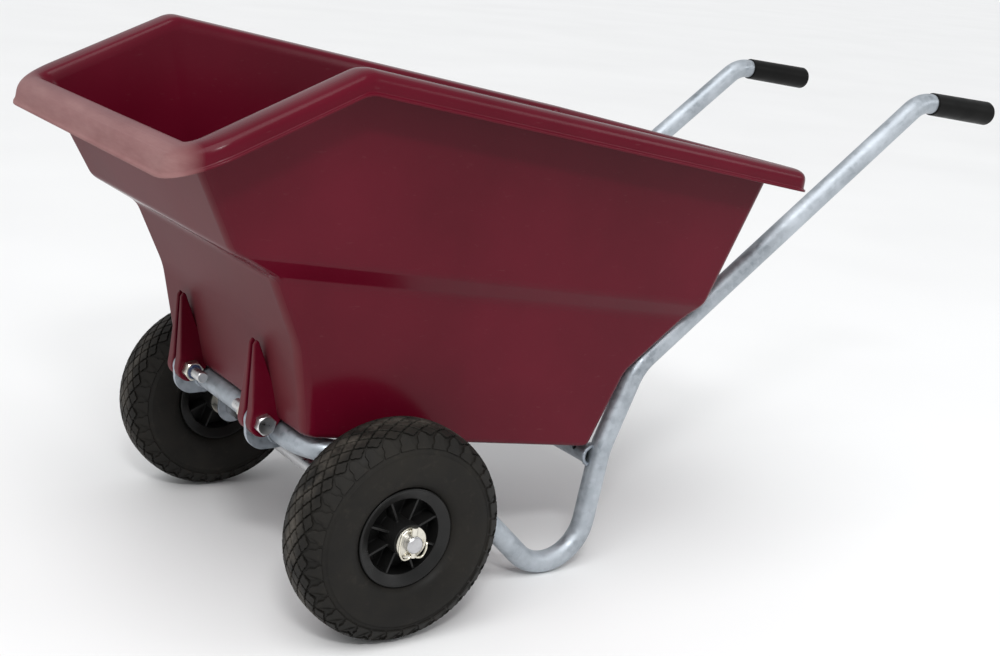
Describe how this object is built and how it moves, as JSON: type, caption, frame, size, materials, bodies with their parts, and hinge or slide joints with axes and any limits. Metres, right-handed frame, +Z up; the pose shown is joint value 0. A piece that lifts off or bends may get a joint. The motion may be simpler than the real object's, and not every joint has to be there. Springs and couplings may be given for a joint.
{
  "type": "tipping wheelbarrow",
  "caption": "Two-wheeled tipping wheelbarrow: moulded tub that tips forward on pivot bolts, bent tube frame with skids and handles, straight axle with rubber tyres.",
  "frame": {"origin": "on the floor, under the middle of the whole barrow at rest", "axes": "+X forward to the tipping lip, away from the handles; +Y to the left; +Z up"},
  "size_m": [1.2841, 0.622, 0.6521],
  "materials": {
    "galvanised_tube": "matt galvanised",
    "galvanised_plate": "matt galvanised",
    "bare_axle": "satin",
    "zinc_hardware": "zinc plated",
    "spring_wire": "satin",
    "tub_plastic": "satin gloss, scuffed",
    "grip_plastic": "satin",
    "rim_plastic": "satin",
    "collar_nylon": "satin",
    "bush_steel": "oiled",
    "tyre_rubber": "matt"
  },
  "bodies": {
    "frame": {"frame_tube": "galvanised_tube", "rear_cross_bar": "galvanised_tube", "tab_plate_left": "galvanised_plate", "tab_plate_right": "galvanised_plate", "axle_bracket_left": "galvanised_plate", "axle_bracket_right": "galvanised_plate", "axle": "bare_axle", "grip_left": "grip_plastic", "grip_right": "grip_plastic", "washers_outer": "zinc_hardware", "washers_inner": "zinc_hardware", "lock_pins": "zinc_hardware", "lock_springs": "spring_wire", "split_pins": "zinc_hardware"},
    "tub": {"tub": "tub_plastic", "pivot_bolts": "zinc_hardware", "pivot_nuts": "zinc_hardware", "nut_collars": "collar_nylon"},
    "wheel_left": {"tyre_left": "tyre_rubber", "rim_left": "rim_plastic", "bushes_left": "bush_steel"},
    "wheel_right": {"tyre_right": "tyre_rubber", "rim_right": "rim_plastic", "bushes_right": "bush_steel"}
  },
  "joints": [
    {"name": "tub_tip", "type": "hinge", "parent": "frame", "child": "tub", "pos_m": [0.45736, 0, 0.224], "axis": [0, 1, 0], "range_deg": [0, 96]},
    {"name": "wheel_left_spin", "type": "hinge", "parent": "frame", "child": "wheel_left", "pos_m": [0.35276, 0.258, 0.13], "axis": [0, 1, 0], "continuous": true},
    {"name": "wheel_right_spin", "type": "hinge", "parent": "frame", "child": "wheel_right", "pos_m": [0.35276, -0.258, 0.13], "axis": [0, 1, 0], "continuous": true}
  ]
}
